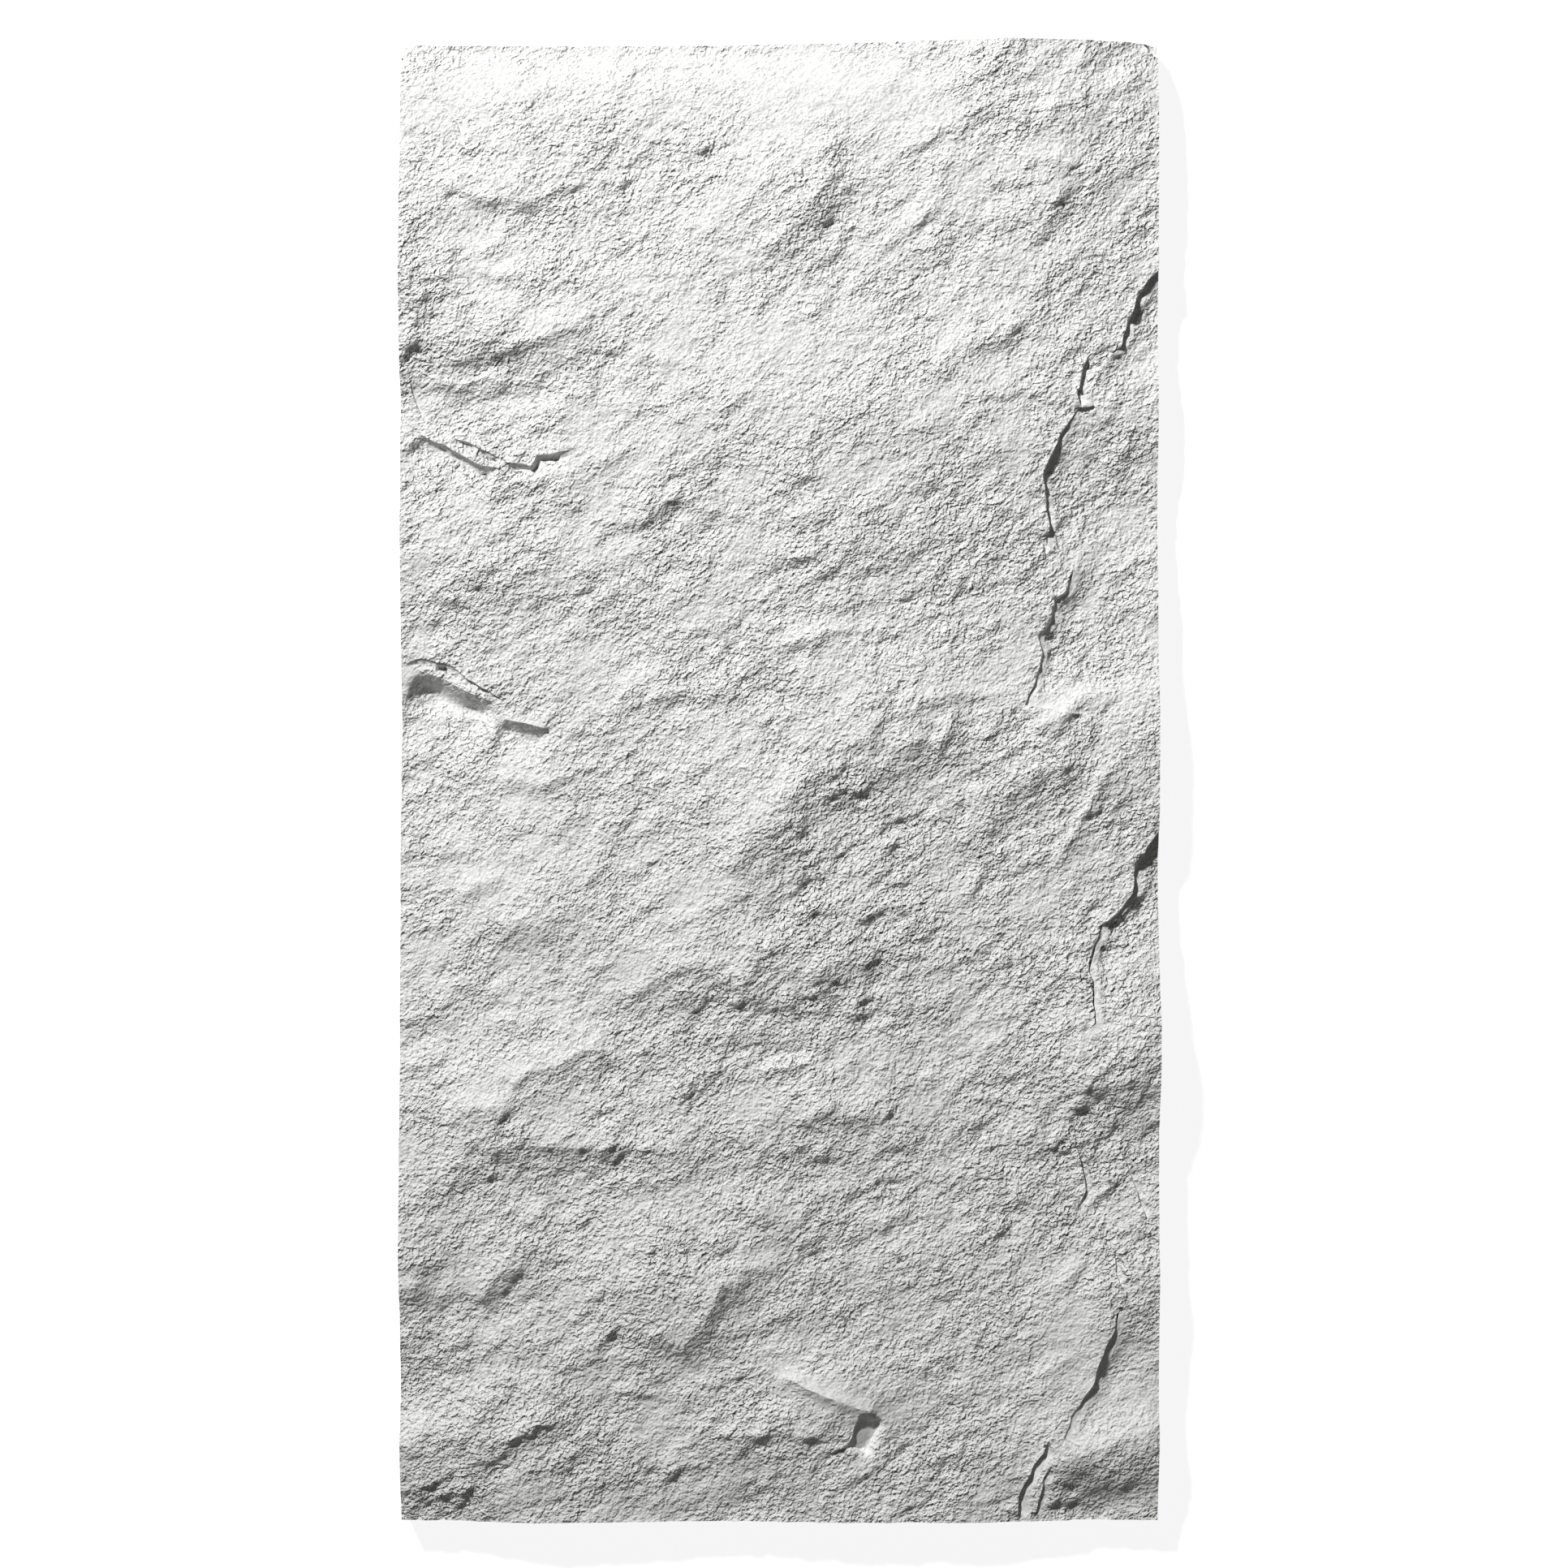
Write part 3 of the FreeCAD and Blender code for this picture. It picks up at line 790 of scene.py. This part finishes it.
@dataclass
class RockRoughness:
    """Geometry Nodes that roughen the stone face between its named breaks.

    Every size is a millimetre of the real cast. The face is rough in patches: it is
    patch_calm times as rough as elsewhere in the smoothest and patch_wild in the
    roughest. The result is kept as the attribute "grain" for the material.
    """

    slab: tuple[float, float] = (54.0, 7.0)
    rib: tuple[float, float] = (34.0, 2.6)
    chip: tuple[float, float] = (19.0, 5.8)
    spall: tuple[float, float] = (9.0, 4.4)
    patch_size: float = 42.0
    patch_calm: float = 0.55
    patch_wild: float = 1.45
    overhang: float = 0.8
    stretch: float = 0.75
    lean: float = 34.0
    top_margin: float = 0.3
    crease: float = 52.0
    seed: int = 7

    def inputs(self, highest: float) -> dict[str, float]:
        """Names and values of the tree's inputs.

        Args:
            highest: the height that the face must stay under, in metres.

        Returns:
            Values by input name.
        """
        layers = {"Slab": self.slab, "Rib": self.rib, "Chip": self.chip, "Spall": self.spall}
        values = {f"{name} {part}": layer[i] * MM for name, layer in layers.items()
                  for i, part in enumerate(("size", "height"))}
        return values | {
            "Sink": -0.5 * MM * sum(layer[1] for layer in layers.values()),
            "Patch size": self.patch_size * MM, "Patch calm": self.patch_calm, "Patch wild": self.patch_wild,
            "Overhang": self.overhang, "Stretch": self.stretch, "Lean": math.radians(self.lean),
            "Highest": highest - self.top_margin * MM, "Seed": float(self.seed),
        }

    def tree(self, names: list[str]) -> NodeTree:
        """Builds the tree with its named inputs.

        Args:
            names: the number inputs, in order.

        Returns:
            The node group.
        """
        tree = bpy.data.node_groups.new("split_rock_roughness", "GeometryNodeTree")
        for name, way, kind in [("Geometry", "INPUT", "Geometry"), *((name, "INPUT", "Float") for name in names),
                                ("Finish", "INPUT", "Material"), ("Geometry", "OUTPUT", "Geometry")]:
            tree.interface.new_socket(name, in_out=way, socket_type="NodeSocket" + kind)
        add = partial(add_node, tree)
        given = add("NodeGroupInput").outputs
        place = add("GeometryNodeInputPosition")
        turned = add("ShaderNodeVectorRotate", {"Vector": place, "Angle": given["Lean"]}, rotation_type="Z_AXIS",
                     invert=True)
        squeeze = add("ShaderNodeCombineXYZ", {0: given["Stretch"], 1: 1.0, 2: 0.0})
        strokes = add("ShaderNodeVectorMath", {0: turned, 1: squeeze}, operation="MULTIPLY")

        # the layers of roughness, summed about 0
        lift = given["Sink"]
        layers = (("Slab", "FBM", 1.0), ("Rib", "RIDGED_MULTIFRACTAL", 1.5), ("Chip", "FBM", 1.0),
                  ("Spall", "FBM", 1.0))
        for turn, (name, kind, detail) in enumerate(layers):
            seed = add("ShaderNodeMath", {0: given["Seed"], 1: 3.0 * turn}, operation="ADD")
            scale = add("ShaderNodeMath", {0: 1.0, 1: given[name + " size"]}, operation="DIVIDE")
            layer = add("ShaderNodeTexNoise", {"Vector": strokes, "W": seed, "Scale": scale, "Detail": detail,
                                               "Roughness": 0.55, "Lacunarity": 2.1}, noise_dimensions="4D",
                        noise_type=kind, normalize=True)
            lift = add("ShaderNodeMath", {0: layer, 1: given[name + " height"], 2: lift}, operation="MULTIPLY_ADD")

        # how rough each place is: its own share, and its patch, whose noise mostly lies from 0.36 to 0.64
        scale = add("ShaderNodeMath", {0: 1.0, 1: given["Patch size"]}, operation="DIVIDE")
        patch = add("ShaderNodeTexNoise", {"Vector": strokes, "W": given["Seed"], "Scale": scale, "Detail": 2.0,
                                           "Roughness": 0.6}, noise_dimensions="4D", noise_type="FBM",
                    normalize=True)
        wildness = add("ShaderNodeMapRange", {0: patch, 1: 0.36, 2: 0.64, 3: given["Patch calm"],
                                              4: given["Patch wild"]})
        share = add("GeometryNodeInputNamedAttribute", {"Name": "rough"}, data_type="FLOAT")
        grain = add("ShaderNodeMath", {0: wildness, 1: share}, operation="MULTIPLY")
        lift = add("ShaderNodeMath", {0: lift, 1: grain}, operation="MULTIPLY")

        # the offset: up, and over towards the fall of the breaks
        level = add("ShaderNodeSeparateXYZ", {0: place}).outputs[2]
        raised = add("ShaderNodeMath", {0: level, 1: lift}, operation="ADD")
        capped = add("ShaderNodeMath", {0: raised, 1: given["Highest"], 2: 0.002}, operation="SMOOTH_MIN")
        moved = add("ShaderNodeMath", {0: capped, 1: level}, operation="SUBTRACT")
        hold = add("GeometryNodeInputNamedAttribute", {"Name": "hold"}, data_type="FLOAT")
        free = add("ShaderNodeMath", {0: given["Overhang"], 1: hold}, operation="MULTIPLY")
        push = add("ShaderNodeMath", {0: lift, 1: free}, operation="MULTIPLY")
        sideways = add("ShaderNodeVectorMath", {0: (*FALL, 0.0), "Scale": push}, operation="SCALE")
        upwards = add("ShaderNodeCombineXYZ", {2: moved})
        offset = add("ShaderNodeVectorMath", {0: sideways, 1: upwards}, operation="ADD")

        on_face = add("FunctionNodeCompare", {0: share, 1: 0.0}, data_type="FLOAT", operation="GREATER_THAN")
        kept = add("GeometryNodeStoreNamedAttribute", {"Geometry": given["Geometry"], "Name": "grain",
                                                       "Value": grain}, data_type="FLOAT", domain="POINT")
        roughened = add("GeometryNodeSetPosition", {"Geometry": kept, "Selection": on_face, "Offset": offset})
        real = add("GeometryNodeRealizeInstances", {"Geometry": roughened})
        dressed = add("GeometryNodeSetMaterial", {"Geometry": real, "Material": given["Finish"]})
        add("NodeGroupOutput", {"Geometry": dressed})
        return tree

    def apply(self, skin: Object, finish: Material, highest: float) -> Object:
        """Roughens the skin and turns the result into a plain mesh.

        Args:
            skin: the closed skin, with its roughness attribute.
            finish: the material that it gets.
            highest: the height that it must stay under.

        Returns:
            The finished object.
        """
        values = self.inputs(highest)
        tree = self.tree(list(values))
        modifier = skin.modifiers.new("roughness", "NODES")
        modifier.node_group = tree
        sockets = {item.name: item.identifier for item in tree.interface.items_tree if item.in_out == "INPUT"}
        for name, value in (values | {"Finish": finish}).items():
            modifier[sockets[name]] = value
        depsgraph = bpy.context.evaluated_depsgraph_get()
        mesh = bpy.data.meshes.new_from_object(skin.evaluated_get(depsgraph), depsgraph=depsgraph)
        skin.modifiers.remove(modifier)
        skin.data = mesh
        mesh.shade_smooth()
        mesh.set_sharp_from_angle(angle=math.radians(self.crease))
        return skin


@dataclass(frozen=True)
class MouldedPolyurethane:
    """Rigid polyurethane cast in a rubber mould and left unpainted.

    The skin is matt and off-white. The mould copied split rock, so the eye reads a dry gritty grain of pits and short
    strokes, and painted shade draws the deeper pits a little darker.
    """

    skin: str = "#EFEFED"
    # painted shade: the colour of the deeper pits, darker than the skin to stand in for shade in them
    pits: str = "#D9D9D5"
    roughness: float = 0.78
    ior: float = 1.5
    specular: float = 0.3
    grain: float = 4.0
    grain_depth: float = 3.4
    grit: float = 2.1
    grit_depth: float = 1.6
    calm_depth: float = 0.1
    lean: float = 38.0
    stretch: float = 1.1

    def make(self) -> Material:
        """Builds the material.

        Returns:
            The material, on Object coordinates.
        """
        material = bpy.data.materials.new("moulded_polyurethane_rock_cast")
        add = emptied(material)
        place = add("ShaderNodeTexCoord").outputs["Object"]
        strokes = add("ShaderNodeMapping", {"Vector": place, "Rotation": (0, 0, math.radians(self.lean)),
                                            "Scale": (self.stretch, 1, 1)}, vector_type="TEXTURE")
        # granules and short strokes 3 to 6 mm across, as measured on the cast
        grain = add("ShaderNodeTexNoise", {"Vector": strokes, "Scale": 1 / (self.grain * MM), "Detail": 1.0,
                                           "Roughness": 0.6, "Distortion": 0.25}, noise_type="FBM")
        # the real grit is under 1 mm, drawn at 2.1 mm so that it shows from the camera
        grit = add("ShaderNodeTexNoise", {"Vector": strokes, "Scale": 1 / (self.grit * MM), "Detail": 1.0,
                                          "Roughness": 0.6}, noise_type="FBM")
        share = add("ShaderNodeAttribute", attribute_name="grain").outputs["Fac"]
        depth = add("ShaderNodeMath", {0: share, 1: self.calm_depth}, operation="MAXIMUM")
        # both rise and fall with the roughness of the place, so that calm patches stay smooth
        normal = None
        for pattern, reach in ((grain, self.grain_depth), (grit, self.grit_depth)):
            height = add("ShaderNodeMath", {0: pattern, 1: depth}, operation="MULTIPLY")
            under = {"Normal": normal} if normal else {}
            normal = add("ShaderNodeBump", {"Height": height, "Distance": reach * MM, "Strength": 1.0} | under)
        both = add("ShaderNodeMath", {0: grain, 1: grit}, operation="ADD")
        # painted shade: the deeper pits of the grain are drawn a faint shade darker, for the shade that falls in them
        shade = add("ShaderNodeMapRange", {0: both, 1: 0.7, 2: 1.0, 3: 0.0, 4: 1.0})
        painted_pit_shade = add("ShaderNodeMix", {0: shade, 6: linear(self.pits), 7: linear(self.skin)}, data_type="RGBA").outputs[2]
        shader = add("ShaderNodeBsdfPrincipled", {"Base Color": painted_pit_shade, "Normal": normal, "Roughness": self.roughness,
                                                  "IOR": self.ior, "Specular IOR Level": self.specular})
        add("ShaderNodeOutputMaterial", {"Surface": shader})
        return material


@dataclass(frozen=True)
class Studio:
    """Camera, lamps, floor and backdrop."""

    camera_height: float = 2.30
    camera_place: Place = (0.00367, -0.00133)
    lens: float = 64.2
    key_place: tuple[float, float, float] = (-1.97, 3.03, 2.80)
    key_aim: tuple[float, float, float] = (6.0, -1.0, 0.0)
    key_watts: float = 298.0
    key_size: float = 0.34
    fill_strength: float = 0.045
    floor_size: float = 30.0
    floor_colour: str = "#959595"
    floor_glow: float = 0.9

    def set_up(self, low: Vector) -> None:
        """Builds the whole studio round the panel.

        Args:
            low: lowest corner of the panel, whose height the floor takes.
        """
        self._camera(low)
        self._key_lamp()
        self._floor(low)
        self._world()
        bpy.context.scene.view_settings.view_transform = "Standard"

    def _camera(self, low: Vector) -> None:
        """Looks straight down at the stone face, panel top at the picture's top."""
        data = bpy.data.cameras.new("camera")
        data.lens = self.lens
        data.sensor_width = 36.0
        data.clip_start, data.clip_end = 0.05, 100.0
        camera = added("camera", data)
        camera.location = (*self.camera_place, low.z + self.camera_height)
        bpy.context.scene.camera = camera

    def _key_lamp(self) -> None:
        """Hangs the soft lamp at the upper left, feathered to the right so that the left isn't brighter."""
        data = bpy.data.lights.new("key_lamp", "AREA")
        data.shape = "DISK"
        data.size = self.key_size
        data.energy = self.key_watts
        lamp = added("key_lamp", data)
        lamp.location = self.key_place
        lamp.rotation_mode = "QUATERNION"
        lamp.rotation_quaternion = (Vector(self.key_aim) - Vector(self.key_place)).to_track_quat("-Z", "Y")

    @staticmethod
    def _seen_directly(add: Callable[..., Node]) -> Node:
        """Gives 1 for camera, glossy and transmission rays, else 0."""
        rays = add("ShaderNodeLightPath").outputs
        first = add("ShaderNodeMath", {0: rays["Is Camera Ray"], 1: rays["Is Glossy Ray"]}, operation="MAXIMUM")
        return add("ShaderNodeMath", {0: first, 1: rays["Is Transmission Ray"]}, operation="MAXIMUM")

    def _floor(self, low: Vector) -> None:
        """Lays the floor: white to the camera, with the panel's shadow on it."""
        half = self.floor_size / 2
        mesh = bpy.data.meshes.new("floor")
        mesh.from_pydata([(-half, -half, low.z), (half, -half, low.z), (half, half, low.z), (-half, half, low.z)],
                         [], [(0, 1, 2, 3)])
        floor = added("floor", mesh)
        material = bpy.data.materials.new("white_paper_floor")
        add = emptied(material)
        share = add("ShaderNodeMath", {0: self._seen_directly(add), 1: self.floor_glow}, operation="MULTIPLY")
        paper = add("ShaderNodeBsdfDiffuse", {"Color": linear(self.floor_colour)})
        glow = add("ShaderNodeEmission", {"Strength": share})
        both = add("ShaderNodeAddShader", {0: paper, 1: glow})
        add("ShaderNodeOutputMaterial", {"Surface": both})
        mesh.materials.append(material)

    def _world(self) -> None:
        """Sets a white backdrop that gives only a weak fill light."""
        world = bpy.data.worlds.new("backdrop")
        bpy.context.scene.world = world
        add = emptied(world)
        strength = add("ShaderNodeMapRange", {0: self._seen_directly(add), 3: self.fill_strength, 4: 1.0})
        back = add("ShaderNodeBackground", {"Color": (1, 1, 1, 1), "Strength": strength})
        add("ShaderNodeOutputWorld", {"Surface": back})


def main() -> None:
    """Builds the studio and the panel, and ties the panel to its body."""
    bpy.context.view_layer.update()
    low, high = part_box(PANEL)
    Studio().set_up(low)
    face = PackedFace(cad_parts[PANEL], low, high)
    log.info("packed cracks %s", [len(crack) for crack in face.cracks])
    skin = StoneSkin(face).build()
    piece = RockRoughness().apply(skin, MouldedPolyurethane().make(), high.z)
    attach(piece, BODY)
    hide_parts(PANEL)
    piece.data.calc_loop_triangles()
    log.info("%s has %d triangles", piece.name, len(piece.data.loop_triangles))


if __name__ == "__main__":
    main()
